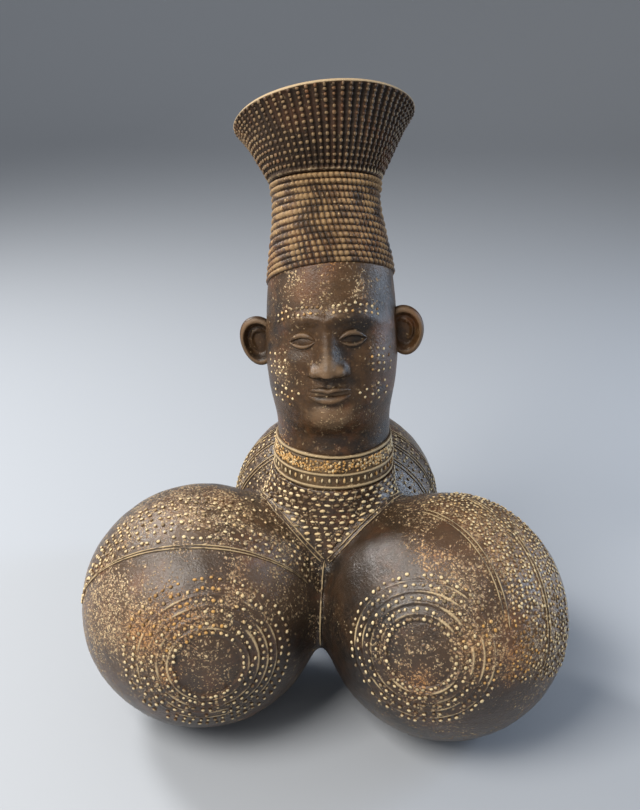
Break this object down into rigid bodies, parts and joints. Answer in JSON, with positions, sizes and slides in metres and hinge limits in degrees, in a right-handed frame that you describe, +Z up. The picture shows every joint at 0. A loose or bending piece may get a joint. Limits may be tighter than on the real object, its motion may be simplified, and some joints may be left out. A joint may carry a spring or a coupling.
{
  "type": "figural terracotta jug",
  "caption": "Fired clay jug with globes luted in a triangle that open into one hub, under a modelled head whose flared coiffure is the mouth.",
  "frame": {"origin": "on the floor, under the middle of the jug's bounding box", "axes": "+Z up; the face looks towards -Y; +X is to the right of someone who looks at the face"},
  "size_m": [0.2402, 0.2254, 0.3065],
  "materials": {
    "burnished_clay": "burnished, smoke-darkened, worn brown on the high places",
    "shoulder_clay": "satin, with pale rubbed edges",
    "necklace_clay": "satin, ochre where worn",
    "skin_clay": "burnished, dusty in the hollows",
    "coiled_clay": "matt, with dust between the coils",
    "ribbed_clay": "matt, dark between the ribs"
  },
  "bodies": {
    "root": {"globe_front_left": "burnished_clay", "globe_front_right": "burnished_clay", "globe_rear": "burnished_clay", "cove_front": "shoulder_clay", "cove_right": "shoulder_clay", "cove_left": "shoulder_clay", "hub": "shoulder_clay", "collar": "necklace_clay", "necklace_coil_lower": "necklace_clay", "necklace_coil_middle": "necklace_clay", "necklace_coil_upper": "necklace_clay", "head": "skin_clay", "nose": "skin_clay", "lip_upper": "skin_clay", "lip_lower": "skin_clay", "eyelid_upper_left": "skin_clay", "eyelid_lower_left": "skin_clay", "eyelid_upper_right": "skin_clay", "eyelid_lower_right": "skin_clay", "ear_left": "skin_clay", "ear_right": "skin_clay", "coiffure_shaft": "coiled_clay", "coiffure_flare": "ribbed_clay"}
  },
  "joints": []
}
